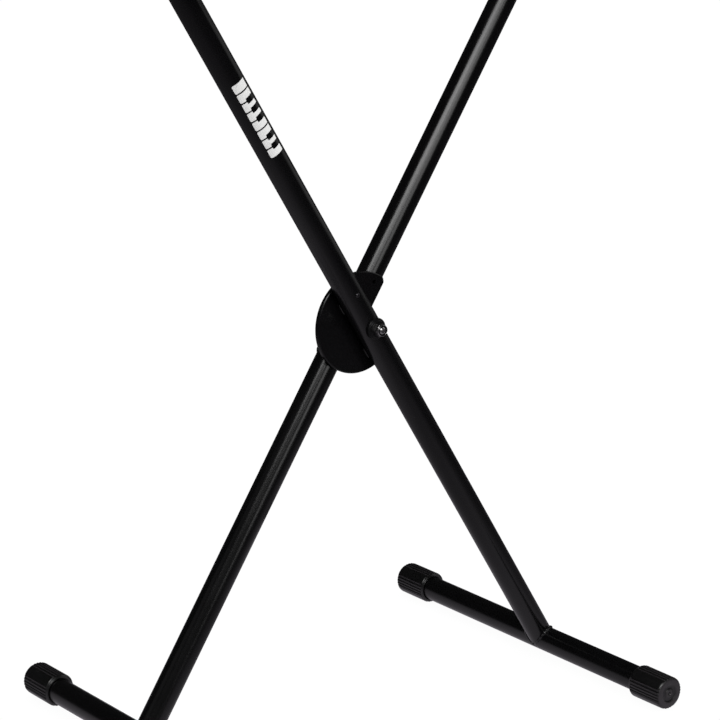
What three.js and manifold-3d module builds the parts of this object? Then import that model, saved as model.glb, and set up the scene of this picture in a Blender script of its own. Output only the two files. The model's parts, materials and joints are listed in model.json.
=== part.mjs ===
// Single-braced X keyboard stand, the folding stand that carries a digital piano.
// Millimetres, +Z up. The origin is on the floor, midway between the four feet.
// The two legs cross in planes parallel to XZ, and the foot tubes and top bars run along Y.

import * as THREE from 'three';
import { mergeVertices } from 'three/addons/utils/BufferGeometryUtils.js';
import Module from 'manifold-3d';

const wasm = await Module();
wasm.setup();

// ---- driving dimensions ----
const TUBE_RADIUS = 14;
const TUBE_WALL = 1.4;
const TUBE_SIDES = 36;
const LEG_TILT = THREE.MathUtils.degToRad(32.7);
const HALF_LEG = 492;
const LEG_GAP = 6;
const FIT_GAP = 0.3;
const FOOT_TUBE_HALF = 222.5;
const TOP_BAR_HALF = 165;

const BOLT_RADIUS = 4;
const HOLE_CLEARANCE = 0.4;
const BOLT_TIP_Y = -43.4;
const BOLT_HEAD_Y = 47.2;
const BOLT_END_Y = 50;

const DISC_RADIUS = 55.5;
const DISC_FACE = 2;
const DISC_RIM = 1.9;
const DISC_RIM_BACK_Y = 2.4;
const JAW_OFFSET = 7;
const MOUTH_OFFSET = 15;

const PIN_RADIUS = 2.9;
const PIN_REACH = 40;
const LOCK_STEP = THREE.MathUtils.degToRad(15);

const CAP_RADIUS = 18.4;
const CAP_ECCENTRICITY = 1;
const CAP_MOUTH_Y = 178.5;
const CAP_RIBS_END_Y = 222.5;
const CAP_END_Y = 226.5;

const GRIP_RADIUS = 17.6;
const GRIP_FLAT = 16.6;
const GRIP_INNER_Y = 92;
const GRIP_OUTER_Y = 158;

// ---- sizes that follow from them ----
const LEG_Y = TUBE_RADIUS + LEG_GAP / 2;
const INNER_RADIUS = TUBE_RADIUS - TUBE_WALL;
const SLEEVE_RADIUS = TUBE_RADIUS + FIT_GAP;
const BOLT_HOLE = BOLT_RADIUS + HOLE_CLEARANCE;
const RIB_COUNT = 20;
const RIB_GROUPS = 4;
const RIB_PITCH = THREE.MathUtils.degToRad(11.2);
const RIB_HALF_CREST = RIB_PITCH / 4;
const RIB_DEPTH = 0.9;
const FOOT_X = HALF_LEG * Math.sin(LEG_TILT);
const HALF_HEIGHT = HALF_LEG * Math.cos(LEG_TILT);
const FOOT_Z = CAP_RADIUS * Math.cos(RIB_HALF_CREST);
const PIVOT_Z = FOOT_Z + HALF_HEIGHT;

// ---- finishes ----
const FINISHES = {
  blackCoat: { color: 0x17171a, roughness: 0.42, metalness: 0.1 },
  rubber: { color: 0x1c1b1e, roughness: 0.75, metalness: 0 },
  softGrip: { color: 0x161617, roughness: 0.85, metalness: 0 },
  zinc: { color: 0x8f9195, roughness: 0.35, metalness: 0.9 },
  springSteel: { color: 0x5b5c60, roughness: 0.4, metalness: 0.9 },
  blackPlastic: { color: 0x121214, roughness: 0.5, metalness: 0 },
  blackOxide: { color: 0x242326, roughness: 0.45, metalness: 0.7 },
  whiteInk: { color: 0xf2f2f0, roughness: 0.5, metalness: 0 },
};

// ---- solids ----

// A closed three.js geometry as a manifold solid, for joining and cutting.
function toSolid(geometry) {
  const bare = geometry.clone();
  bare.deleteAttribute('normal');
  bare.deleteAttribute('uv');
  const merged = mergeVertices(bare, 1e-4);
  const mesh = new wasm.Mesh({
    numProp: 3,
    vertProperties: new Float32Array(merged.attributes.position.array),
    triVerts: new Uint32Array(merged.index.array),
  });
  return new wasm.Manifold(mesh);
}

function toGeometry(solid) {
  const mesh = solid.getMesh();
  const geometry = new THREE.BufferGeometry();
  geometry.setAttribute('position', new THREE.BufferAttribute(mesh.vertProperties, 3));
  geometry.setIndex(new THREE.BufferAttribute(mesh.triVerts, 1));
  geometry.computeVertexNormals();
  return geometry;
}

// The first geometry with every other one cut away from it.
function cut(base, tools) {
  let solid = toSolid(base);
  for (const tool of tools) {
    solid = solid.subtract(toSolid(tool));
  }
  return toGeometry(solid);
}

function join(parts) {
  let solid = toSolid(parts[0]);
  for (const part of parts.slice(1)) {
    solid = solid.add(toSolid(part));
  }
  return toGeometry(solid);
}

// A round bar along Y between two values of Y, with its axis at height z.
function rodY(radius, yLow, yHigh, sides = 24, z = 0) {
  const geometry = new THREE.CylinderGeometry(radius, radius, yHigh - yLow, sides);
  geometry.translate(0, (yLow + yHigh) / 2, z);
  return geometry;
}

function rodZ(radius, zLow, zHigh, sides) {
  const geometry = new THREE.CylinderGeometry(radius, radius, zHigh - zLow, sides);
  geometry.rotateX(Math.PI / 2);
  geometry.translate(0, 0, (zLow + zHigh) / 2);
  return geometry;
}

// A body turned about Y from (radius, y) points, closed on itself or on the axis.
function turned(points, sides = 28) {
  const profile = points.map(([radius, y]) => new THREE.Vector2(radius, y));
  return new THREE.LatheGeometry(profile, sides);
}

function ringY(inner, outer, yLow, yHigh, sides = 28) {
  return turned([[inner, yLow], [outer, yLow], [outer, yHigh], [inner, yHigh], [inner, yLow]], sides);
}

// A flat shape drawn in X and Z, given a thickness along Y.
function plateY(shape, yLow, thickness, curveSegments = 10) {
  const geometry = new THREE.ExtrudeGeometry(shape, {
    depth: thickness, bevelEnabled: false, curveSegments,
  });
  geometry.rotateX(Math.PI / 2);
  geometry.translate(0, yLow + thickness, 0);
  return geometry;
}

function roundHole(shape, x, z, radius, sides = 16) {
  const points = [];
  for (let side = 0; side < sides; side += 1) {
    const angle = (-2 * Math.PI * side) / sides;
    points.push(new THREE.Vector2(x + radius * Math.cos(angle), z + radius * Math.sin(angle)));
  }
  shape.holes.push(new THREE.Path(points));
}

function piece(name, geometry, finish) {
  const mesh = new THREE.Mesh(geometry, new THREE.MeshStandardMaterial(FINISHES[finish]));
  mesh.name = name;
  return mesh;
}

// ---- the two crossed frames ----

// A leg tube along Z, with its ends coped over the foot tube and the top bar.
function legTube(legY, crossHoles) {
  const outer = rodZ(TUBE_RADIUS, -HALF_LEG, HALF_LEG, TUBE_SIDES);
  const tools = [rodZ(INNER_RADIUS, -HALF_LEG - 1, HALF_LEG + 1, TUBE_SIDES)];
  const through = 2 * TUBE_RADIUS;
  const holeSides = 20;
  for (const z of [-HALF_LEG, HALF_LEG]) {
    tools.push(rodY(SLEEVE_RADIUS, -through, through, TUBE_SIDES, z));
  }
  for (const { z, radius } of crossHoles) {
    tools.push(rodY(radius, -through, through, holeSides, z));
  }
  const geometry = cut(outer, tools);
  geometry.translate(0, legY, 0);
  return geometry;
}

function crossTube(half) {
  return ringY(INNER_RADIUS, TUBE_RADIUS, -half, half, TUBE_SIDES);
}

// A sleeve whose round outside is cut flat on top, where the instrument rests.
function gripGeometry(flatTurn) {
  const shape = new THREE.Shape();
  const flatHalfAngle = Math.acos(GRIP_FLAT / GRIP_RADIUS);
  const start = Math.PI / 2 + flatHalfAngle;
  shape.absarc(0, 0, GRIP_RADIUS, start, start + 2 * (Math.PI - flatHalfAngle), false);
  shape.closePath();
  roundHole(shape, 0, 0, SLEEVE_RADIUS, TUBE_SIDES);
  const arcSegments = 16;
  const geometry = plateY(shape, GRIP_INNER_Y, GRIP_OUTER_Y - GRIP_INNER_Y, arcSegments);
  geometry.rotateY(flatTurn);
  return geometry;
}

function barPlug() {
  const stemLength = 12;
  const flangeThickness = 3;
  const bevel = 1.5;
  const stemRadius = INNER_RADIUS - FIT_GAP;
  const stemEnd = TOP_BAR_HALF - stemLength;
  const flangeStart = TOP_BAR_HALF + FIT_GAP;
  const face = flangeStart + flangeThickness;
  return turned([
    [0, stemEnd],
    [stemRadius, stemEnd],
    [stemRadius, flangeStart],
    [TUBE_RADIUS, flangeStart],
    [TUBE_RADIUS, face - bevel],
    [TUBE_RADIUS - bevel, face],
    [0, face],
  ]);
}

function crushSleeve(legY) {
  const outer = 6.5;
  const half = 10.3;
  const sides = 20;
  return ringY(BOLT_HOLE, outer, legY - half, legY + half, sides);
}

// A near end is at -Y, on the front leg's side, and a far end is at +Y.
function addBothEnds(group, name, geometry, finish) {
  const far = piece(`${name}_far`, geometry, finish);
  const near = piece(`${name}_near`, geometry.clone().rotateZ(Math.PI), finish);
  group.add(near, far);
}

function frameGroup(name, legY, tilt, crossHoles) {
  const group = new THREE.Group();
  group.rotation.y = tilt;
  group.add(piece(`${name}_leg_tube`, legTube(legY, crossHoles), 'blackCoat'));
  group.add(piece(`${name}_crush_sleeve`, crushSleeve(legY), 'zinc'));

  const foot = piece(`${name}_foot_tube`, crossTube(FOOT_TUBE_HALF), 'blackCoat');
  foot.position.z = -HALF_LEG;
  const bar = piece(`${name}_top_bar`, crossTube(TOP_BAR_HALF), 'blackCoat');
  bar.position.z = HALF_LEG;
  group.add(foot, bar);

  const ends = new THREE.Group();
  ends.position.z = HALF_LEG;
  addBothEnds(ends, `${name}_bar_plug`, barPlug(), 'rubber');
  const gripFar = piece(`${name}_grip_far`, gripGeometry(-tilt), 'softGrip');
  const gripNear = piece(`${name}_grip_near`, gripGeometry(-tilt), 'softGrip');
  gripNear.position.y = -(GRIP_INNER_Y + GRIP_OUTER_Y);
  ends.add(gripFar, gripNear);
  group.add(ends);
  return group;
}

// ---- ribbed, eccentric foot caps that turn on the foot tubes ----

// The outside of a cap in X and Z: four groups of flat-crested ribs between plain bands.
function ribbedOutline() {
  const points = [];
  const ribsPerGroup = RIB_COUNT / RIB_GROUPS;
  const plainSteps = 3;
  const at = (radius, angle) => points.push(
    new THREE.Vector2(radius * Math.cos(angle), radius * Math.sin(angle)),
  );
  for (let group = 0; group < RIB_GROUPS; group += 1) {
    const middle = -Math.PI / 2 + (group * 2 * Math.PI) / RIB_GROUPS;
    for (let rib = 0; rib < ribsPerGroup; rib += 1) {
      const crest = middle + (rib - (ribsPerGroup - 1) / 2) * RIB_PITCH;
      at(CAP_RADIUS, crest - RIB_HALF_CREST);
      at(CAP_RADIUS, crest + RIB_HALF_CREST);
      at(CAP_RADIUS - RIB_DEPTH, crest + RIB_HALF_CREST * 1.5);
      at(CAP_RADIUS - RIB_DEPTH, crest + RIB_HALF_CREST * 2.5);
    }
    const plainStart = middle + (ribsPerGroup / 2) * RIB_PITCH;
    const plainSpan = (2 * Math.PI) / RIB_GROUPS - ribsPerGroup * RIB_PITCH;
    for (let step = 0; step < plainSteps; step += 1) {
      at(CAP_RADIUS, plainStart + (plainSpan * (step + 0.5)) / plainSteps);
    }
  }
  return points;
}

// The cap's bore is on the tube, and its outside is set off to one side of it.
function footCap(offsetX) {
  const shape = new THREE.Shape(ribbedOutline());
  const ribs = plateY(shape, CAP_MOUTH_Y, CAP_RIBS_END_Y - CAP_MOUTH_Y, 1);
  const crownRadius = CAP_RADIUS - RIB_DEPTH;
  const crownStart = CAP_RIBS_END_Y - 1;
  const bevel = 1.1;
  const crown = turned([
    [0, crownStart],
    [crownRadius, crownStart],
    [crownRadius, CAP_END_Y - bevel],
    [crownRadius - bevel, CAP_END_Y],
    [0, CAP_END_Y],
  ]);
  const whole = join([ribs, crown]);
  whole.translate(offsetX, 0, 0);
  const boreEnd = FOOT_TUBE_HALF + FIT_GAP;
  return cut(whole, [rodY(SLEEVE_RADIUS, CAP_MOUTH_Y - 1, boreEnd, TUBE_SIDES)]);
}

function capsOn(name, footX) {
  const group = new THREE.Group();
  group.position.set(footX, 0, -HALF_HEIGHT);
  addBothEnds(group, `${name}_foot_cap`, footCap(CAP_ECCENTRICITY), 'rubber');
  return group;
}

// ---- the lock disc on the front leg ----

const FRONT_UP = new THREE.Vector2(-Math.sin(LEG_TILT), Math.cos(LEG_TILT));
const FRONT_RIGHT = new THREE.Vector2(Math.cos(LEG_TILT), Math.sin(LEG_TILT));
const REAR_UP = new THREE.Vector2(Math.sin(LEG_TILT), Math.cos(LEG_TILT));
const REAR_RIGHT = new THREE.Vector2(Math.cos(LEG_TILT), -Math.sin(LEG_TILT));

function along(direction, distance, side, offset) {
  return direction.clone().multiplyScalar(distance).addScaledVector(side, offset);
}

// Where a line parallel to a leg, set off to one side, leaves a circle about the pivot.
function onCircle(direction, side, offset, radius) {
  return along(direction, Math.sqrt(radius * radius - offset * offset), side, offset);
}

// The jaw edge runs beside the rear leg, and the mouth's other edge beside the front leg.
function discOutline() {
  const cornerCut = 4;
  const cornerReach = 10;
  const filletReach = 19;
  const jawTip = onCircle(REAR_UP, REAR_RIGHT, JAW_OFFSET, DISC_RADIUS - cornerCut);
  const jawRim = onCircle(REAR_UP, REAR_RIGHT, JAW_OFFSET - cornerCut, DISC_RADIUS);
  const mouthRim = onCircle(FRONT_UP.clone().negate(), FRONT_RIGHT, MOUTH_OFFSET, DISC_RADIUS);
  const corner = along(REAR_UP, cornerReach, REAR_RIGHT, JAW_OFFSET);
  const mouthStart = along(FRONT_UP, -filletReach, FRONT_RIGHT, MOUTH_OFFSET);
  const jawStart = along(REAR_UP, filletReach, REAR_RIGHT, JAW_OFFSET);

  const shape = new THREE.Shape();
  shape.moveTo(jawStart.x, jawStart.y);
  shape.lineTo(jawTip.x, jawTip.y);
  shape.lineTo(jawRim.x, jawRim.y);
  shape.absarc(0, 0, DISC_RADIUS, jawRim.angle(), mouthRim.angle(), false);
  shape.lineTo(mouthStart.x, mouthStart.y);
  shape.quadraticCurveTo(corner.x, corner.y, jawStart.x, jawStart.y);
  return { shape, startAngle: jawRim.angle(), endAngle: mouthRim.angle() };
}

function ringSector(inner, outer, startAngle, endAngle) {
  const shape = new THREE.Shape();
  shape.absarc(0, 0, outer, startAngle, endAngle, false);
  shape.absarc(0, 0, inner, endAngle, startAngle, true);
  shape.closePath();
  return shape;
}

const RIVET_REACH = 47.6;
const RIVET_RADIUS = 1.9;
const RIVET_HOLE = RIVET_RADIUS + HOLE_CLEARANCE;

// A shallow pressed pan: a flat face with a rim turned back round its arc.
function lockDisc() {
  const discSegments = 24;
  const faceY = -LEG_GAP / 2 + FIT_GAP;
  const { shape, startAngle, endAngle } = discOutline();
  const drainHole = new THREE.Vector2(19.6, 42);
  const drainRadius = 2.1;
  const rivet = FRONT_UP.clone().multiplyScalar(RIVET_REACH);
  roundHole(shape, 0, 0, BOLT_HOLE);
  roundHole(shape, drainHole.x, drainHole.y, drainRadius);
  roundHole(shape, rivet.x, rivet.y, RIVET_HOLE);
  const rimShape = ringSector(DISC_RADIUS - DISC_RIM, DISC_RADIUS, startAngle, endAngle);
  const rimStart = faceY + DISC_FACE / 2;
  return join([
    plateY(shape, faceY, DISC_FACE, discSegments),
    plateY(rimShape, rimStart, DISC_RIM_BACK_Y - rimStart, discSegments),
  ]);
}

// The plate and the spacer lie on the floor of the pan.
const PAN_FLOOR_Y = -0.4;

// The angle in X and Z of the lock pin, which sits on the rear leg below the pivot.
const PIN_ANGLE = REAR_UP.clone().negate().angle();

// The hole for each locked height is a step further round from the next.
function indexPlate() {
  const steps = [-2, -1, 0, 1, 2];
  const halfSpan = THREE.MathUtils.degToRad(38);
  const halfWidth = 8.5;
  const start = PIN_ANGLE - halfSpan;
  const end = PIN_ANGLE + halfSpan;
  const shape = ringSector(PIN_REACH - halfWidth, PIN_REACH + halfWidth, start, end);
  for (const step of steps) {
    const angle = PIN_ANGLE + step * LOCK_STEP;
    const x = PIN_REACH * Math.cos(angle);
    const z = PIN_REACH * Math.sin(angle);
    roundHole(shape, x, z, PIN_RADIUS + HOLE_CLEARANCE);
  }
  return plateY(shape, PAN_FLOOR_Y, 2);
}

function discRivet() {
  const headRadius = 2.9;
  const headHeight = 1.7;
  const crownRadius = 1.6;
  const tailHeight = 1.2;
  const tailBevel = 0.6;
  const sides = 16;
  const headY = -2 * LEG_Y + LEG_GAP / 2 - FIT_GAP;
  const geometry = turned([
    [0, headY - headHeight],
    [crownRadius, headY - headHeight + FIT_GAP],
    [headRadius, headY],
    [RIVET_RADIUS, headY],
    [RIVET_RADIUS, 0],
    [headRadius, 0],
    [headRadius - tailBevel, tailHeight],
    [0, tailHeight],
  ], sides);
  const place = FRONT_UP.clone().multiplyScalar(RIVET_REACH);
  geometry.translate(place.x, 0, place.y);
  return geometry;
}

// ---- the pivot stack ----

const BUSH_FRONT_Y = -35.2;

// A stepped bush whose back is hollowed to sit on the round leg.
function saddleBush() {
  const flangeRadius = 11.6;
  const bossRadius = 9.3;
  const backY = -28;
  const flangeY = -32.6;
  const bossHeight = 2;
  const outer = turned([
    [BOLT_HOLE, BUSH_FRONT_Y],
    [bossRadius, BUSH_FRONT_Y],
    [bossRadius, BUSH_FRONT_Y + bossHeight],
    [flangeRadius, flangeY],
    [flangeRadius, backY],
    [BOLT_HOLE, backY],
    [BOLT_HOLE, BUSH_FRONT_Y],
  ]);
  const leg = rodZ(SLEEVE_RADIUS, -TUBE_RADIUS, TUBE_RADIUS, TUBE_SIDES);
  leg.translate(0, -LEG_Y, 0);
  leg.rotateY(-LEG_TILT);
  return cut(outer, [leg]);
}

// A hexagon with a thinner round collar at its front, which holds a nylon ring.
function lockNut() {
  const cornerRadius = 7.5;
  const hexHeight = 5.5;
  const collarRadius = 6.2;
  const collarHeight = 2;
  const bevel = 0.8;
  const shape = new THREE.Shape();
  for (let side = 0; side < 6; side += 1) {
    const angle = (side * Math.PI) / 3;
    const x = cornerRadius * Math.cos(angle);
    const z = cornerRadius * Math.sin(angle);
    if (side === 0) {
      shape.moveTo(x, z);
    } else {
      shape.lineTo(x, z);
    }
  }
  shape.closePath();
  const hexFrontY = BUSH_FRONT_Y - FIT_GAP - hexHeight;
  const frontY = hexFrontY - collarHeight;
  const overlap = hexFrontY + 1;
  const hexagon = plateY(shape, hexFrontY, hexHeight);
  const collar = turned([
    [0, frontY],
    [collarRadius - bevel, frontY],
    [collarRadius, frontY + bevel],
    [collarRadius, overlap],
    [0, overlap],
  ]);
  const bore = rodY(BOLT_RADIUS + FIT_GAP, frontY - 1, BUSH_FRONT_Y);
  return cut(join([hexagon, collar]), [bore]);
}

function pivotBolt() {
  const headRadius = 7;
  const headCrown = 4.6;
  const shoulder = 6.4;
  const tipBevel = 0.6;
  return turned([
    [0, BOLT_TIP_Y],
    [BOLT_RADIUS - tipBevel, BOLT_TIP_Y],
    [BOLT_RADIUS, BOLT_TIP_Y + tipBevel],
    [BOLT_RADIUS, BOLT_HEAD_Y],
    [headRadius, BOLT_HEAD_Y],
    [shoulder, BOLT_END_Y - 1],
    [headCrown, BOLT_END_Y],
    [0, BOLT_END_Y],
  ]);
}

function pivotSpacer() {
  const outer = 11;
  return ringY(BOLT_HOLE, outer, PAN_FLOOR_Y, LEG_GAP / 2 - FIT_GAP);
}

// ---- the pull knob and its lock pin, on the rear leg ----

const CARRIER_Y = LEG_Y + TUBE_RADIUS + FIT_GAP;
const CARRIER_THICKNESS = 2.5;
const CARRIER_BACK_Y = CARRIER_Y + CARRIER_THICKNESS;
const PIN_TAIL_RADIUS = 2;

function pinCarrier() {
  const boltEnd = 10;
  const pinEnd = 7;
  const shape = new THREE.Shape();
  shape.absarc(0, 0, boltEnd, 0, Math.PI, false);
  shape.absarc(0, -PIN_REACH, pinEnd, Math.PI, 2 * Math.PI, false);
  shape.closePath();
  roundHole(shape, 0, 0, BOLT_HOLE);
  roundHole(shape, 0, -PIN_REACH, PIN_TAIL_RADIUS + FIT_GAP);
  const geometry = plateY(shape, CARRIER_Y, CARRIER_THICKNESS);
  geometry.rotateY(LEG_TILT);
  return geometry;
}

function lockPin() {
  const tipY = 2;
  const tipBevel = 0.8;
  const headRadius = 3.3;
  const headBevel = 0.6;
  const headHeight = 1;
  const shoulderY = CARRIER_Y - FIT_GAP;
  const headY = CARRIER_BACK_Y + FIT_GAP;
  const sides = 20;
  const geometry = turned([
    [0, tipY],
    [PIN_RADIUS - tipBevel, tipY],
    [PIN_RADIUS, tipY + tipBevel],
    [PIN_RADIUS, shoulderY],
    [PIN_TAIL_RADIUS, shoulderY],
    [PIN_TAIL_RADIUS, headY],
    [headRadius, headY],
    [headRadius - headBevel, headY + headHeight],
    [0, headY + headHeight],
  ], sides);
  geometry.translate(0, 0, -PIN_REACH);
  geometry.rotateY(LEG_TILT);
  return geometry;
}

// A tube inside the leg that keeps the pin square to it.
function pinGuide() {
  const outer = 4.7;
  const half = 11.2;
  const sides = 20;
  const geometry = ringY(PIN_RADIUS + HOLE_CLEARANCE, outer, LEG_Y - half, LEG_Y + half, sides);
  geometry.translate(0, 0, -PIN_REACH);
  geometry.rotateY(LEG_TILT);
  return geometry;
}

const KNOB_FRONT_Y = CARRIER_BACK_Y + FIT_GAP;
const KNOB_FLOOR_Y = KNOB_FRONT_Y + 2.5;
const RETAINER_Y = 45.5;

// A cup round the bolt, with a neck that leaves room for fingers behind its lip.
function pullKnob() {
  const lip = 13;
  const neck = 11;
  const inner = 10.2;
  const neckEndY = KNOB_FRONT_Y + 5;
  const lipStartY = KNOB_FRONT_Y + 8;
  const sides = 32;
  return turned([
    [BOLT_HOLE, KNOB_FRONT_Y],
    [neck, KNOB_FRONT_Y],
    [neck, neckEndY],
    [lip, lipStartY],
    [lip, BOLT_END_Y - 1],
    [lip - 1, BOLT_END_Y],
    [inner, BOLT_END_Y],
    [inner, KNOB_FLOOR_Y],
    [BOLT_HOLE, KNOB_FLOOR_Y],
    [BOLT_HOLE, KNOB_FRONT_Y],
  ], sides);
}

// A washer under the bolt's head, for the spring to push against.
function springRetainer() {
  const outer = 9.6;
  const thickness = 1.4;
  return ringY(BOLT_HOLE, outer, RETAINER_Y, RETAINER_Y + thickness);
}

class Helix extends THREE.Curve {
  constructor(radius, yLow, yHigh, turns) {
    super();
    Object.assign(this, { radius, yLow, yHigh, turns });
  }

  getPoint(t, target = new THREE.Vector3()) {
    const angle = t * this.turns * 2 * Math.PI;
    const y = THREE.MathUtils.lerp(this.yLow, this.yHigh, t);
    return target.set(this.radius * Math.cos(angle), y, this.radius * Math.sin(angle));
  }
}

// The spring pushes the knob, and so the pin, towards the disc.
function lockSpring() {
  const coilRadius = 6.8;
  const wire = 0.5;
  const turns = 3.5;
  const wireSides = 6;
  const stepsPerTurn = 12;
  const low = KNOB_FLOOR_Y + wire + FIT_GAP;
  const high = RETAINER_Y - wire - FIT_GAP;
  const section = new THREE.Shape();
  section.absarc(0, 0, wire, 0, 2 * Math.PI, false);
  return new THREE.ExtrudeGeometry(section, {
    extrudePath: new Helix(coilRadius, low, high, turns),
    steps: turns * stepsPerTurn,
    curveSegments: wireSides / 2,
    bevelEnabled: false,
  });
}

// ---- the printed mark on the front leg ----

// A thin film that follows the tube, over the part of the leg that carries the print.
function legPrint() {
  const printLow = 238;
  const printHigh = 334;
  const turnStart = THREE.MathUtils.degToRad(-38);
  const turnEnd = THREE.MathUtils.degToRad(34);
  const film = 0.3;
  const steps = 10;
  const points = [];
  for (let step = 0; step <= steps; step += 1) {
    const turn = THREE.MathUtils.lerp(turnStart, turnEnd, step / steps);
    const outward = new THREE.Vector2(Math.sin(turn), Math.cos(turn));
    points.push(outward.clone().multiplyScalar(SLEEVE_RADIUS + film));
    points.unshift(outward.multiplyScalar(SLEEVE_RADIUS));
  }
  const geometry = new THREE.ExtrudeGeometry(new THREE.Shape(points), {
    depth: printHigh - printLow, bevelEnabled: false,
  });
  geometry.rotateX(Math.PI);
  geometry.translate(0, -LEG_Y, printHigh);
  geometry.rotateY(-LEG_TILT);
  return geometry;
}

// ---- assembly, all placed from the pivot ----

const stand = new THREE.Group();
stand.position.z = PIVOT_Z;

stand.add(frameGroup('front', -LEG_Y, -LEG_TILT, [
  { z: 0, radius: BOLT_HOLE },
  { z: RIVET_REACH, radius: RIVET_HOLE },
]));
stand.add(frameGroup('rear', LEG_Y, LEG_TILT, [
  { z: 0, radius: BOLT_HOLE },
  { z: -PIN_REACH, radius: PIN_RADIUS + HOLE_CLEARANCE },
]));
stand.add(capsOn('front', FOOT_X));
stand.add(capsOn('rear', -FOOT_X));

stand.add(piece('lock_disc', lockDisc(), 'blackCoat'));
stand.add(piece('index_plate', indexPlate(), 'zinc'));
stand.add(piece('disc_rivet', discRivet(), 'blackOxide'));
stand.add(piece('leg_print', legPrint(), 'whiteInk'));

stand.add(piece('saddle_bush', saddleBush(), 'blackPlastic'));
stand.add(piece('pivot_lock_nut', lockNut(), 'zinc'));
stand.add(piece('pivot_bolt', pivotBolt(), 'zinc'));
stand.add(piece('pivot_spacer', pivotSpacer(), 'zinc'));
stand.add(piece('spring_retainer', springRetainer(), 'zinc'));

stand.add(piece('pin_carrier', pinCarrier(), 'blackOxide'));
stand.add(piece('lock_pin', lockPin(), 'zinc'));
stand.add(piece('pin_guide', pinGuide(), 'zinc'));
stand.add(piece('pull_knob', pullKnob(), 'blackPlastic'));
stand.add(piece('lock_spring', lockSpring(), 'springSteel'));

export default stand;
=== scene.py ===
import json
import math
import bpy
import numpy as np
from mathutils import Matrix, Vector
from mathutils.geometry import tessellate_polygon


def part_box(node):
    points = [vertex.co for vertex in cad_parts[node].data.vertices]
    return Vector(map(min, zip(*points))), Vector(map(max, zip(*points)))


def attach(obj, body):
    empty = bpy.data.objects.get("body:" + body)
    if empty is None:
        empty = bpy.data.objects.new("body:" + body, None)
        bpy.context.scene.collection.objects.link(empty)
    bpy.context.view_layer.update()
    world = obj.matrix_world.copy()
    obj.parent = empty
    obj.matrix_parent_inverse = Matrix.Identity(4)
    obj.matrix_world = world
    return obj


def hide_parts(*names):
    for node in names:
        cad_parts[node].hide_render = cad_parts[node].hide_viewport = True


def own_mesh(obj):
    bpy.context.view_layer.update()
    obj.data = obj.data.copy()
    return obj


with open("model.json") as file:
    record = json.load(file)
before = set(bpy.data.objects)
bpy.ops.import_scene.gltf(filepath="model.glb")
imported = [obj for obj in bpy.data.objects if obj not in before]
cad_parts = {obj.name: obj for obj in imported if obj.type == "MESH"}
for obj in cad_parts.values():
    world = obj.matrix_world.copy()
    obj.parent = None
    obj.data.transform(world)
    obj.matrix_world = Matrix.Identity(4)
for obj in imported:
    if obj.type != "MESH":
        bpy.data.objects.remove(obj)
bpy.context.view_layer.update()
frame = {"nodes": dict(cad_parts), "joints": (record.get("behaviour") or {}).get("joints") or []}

mm = 0.001
scene = bpy.context.scene

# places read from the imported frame
joints = {j["name"]: j for j in frame["joints"]}
pivot = Vector(joints["leg_fold"]["pos_m"])
footAxis = Vector(joints["front_near_cap_turn"]["pos_m"])
halfHeight = pivot.z - footAxis.z
legTilt = math.atan2(footAxis.x, halfHeight)
halfLeg = math.hypot(footAxis.x, halfHeight)


def middle(node):
    low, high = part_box(node)
    return (low + high) / 2


def span(node, axis):
    low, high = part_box(node)
    return low[axis], high[axis]


legY = abs(middle("front_leg_tube").y)
tubeRadius = (span("front_foot_tube", 2)[1] - span("front_foot_tube", 2)[0]) / 2
print("frame read: leg tilt %.2f degrees, tube %.1f mm" % (math.degrees(legTilt), 2000 * tubeRadius))


# Camera.
cameraView = {
    "azimuth": -38.88, "elevation": 15.955, "roll": 0.846, "lens": 137.53,
    "fromPivot": (-1.76223, -2.19052, 0.76221),
}


def makeCamera(spec):
    a, e, r = (math.radians(spec[k]) for k in ("azimuth", "elevation", "roll"))
    back = Vector((math.sin(a) * math.cos(e), -math.cos(a) * math.cos(e), math.sin(e)))
    right = Vector((math.cos(a), math.sin(a), 0))
    up = back.cross(right)
    turnedRight = right * math.cos(r) + up * math.sin(r)
    turnedUp = up * math.cos(r) - right * math.sin(r)
    data = bpy.data.cameras.new("standCamera")
    data.lens = spec["lens"]
    data.sensor_width = 36
    data.clip_start, data.clip_end = 0.05, 100
    cam = bpy.data.objects.new("standCamera", data)
    scene.collection.objects.link(cam)
    turn = Matrix((turnedRight, turnedUp, back)).transposed().to_4x4()
    cam.matrix_world = Matrix.Translation(pivot + Vector(spec["fromPivot"])) @ turn
    scene.camera = cam


makeCamera(cameraView)


# Shader helpers.
def addNode(tree, kind, place, **settings):
    node = tree.nodes.new("ShaderNode" + kind)
    node.location = place
    for key, value in settings.items():
        if key in node.inputs:
            node.inputs[key].default_value = value
        else:
            setattr(node, key, value)
    return node


def newGroup(name, inputs, outputs):
    group = bpy.data.node_groups.new(name, "ShaderNodeTree")
    for label, kind, value in inputs:
        socket = group.interface.new_socket(name=label, in_out="INPUT", socket_type=kind)
        if value is not None:
            socket.default_value = value
    for label, kind in outputs:
        group.interface.new_socket(name=label, in_out="OUTPUT", socket_type=kind)
    return group, group.nodes.new("NodeGroupInput"), group.nodes.new("NodeGroupOutput")


# a number that is multiplied and shifted: value * gain + shift
def scaled(tree, source, gain, shift, place):
    node = addNode(tree, "Math", place, operation="MULTIPLY_ADD")
    tree.links.new(source, node.inputs[0])
    for socket, value in ((node.inputs[1], gain), (node.inputs[2], shift)):
        if hasattr(value, "is_linked"):
            tree.links.new(value, socket)
        else:
            socket.default_value = value
    return node.outputs[0]


# two numbers put together by one operation
def combine(tree, operation, one, other, place):
    node = addNode(tree, "Math", place, operation=operation)
    for socket, value in ((node.inputs[0], one), (node.inputs[1], other)):
        if hasattr(value, "is_linked"):
            tree.links.new(value, socket)
        else:
            socket.default_value = value
    return node.outputs[0]


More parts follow.
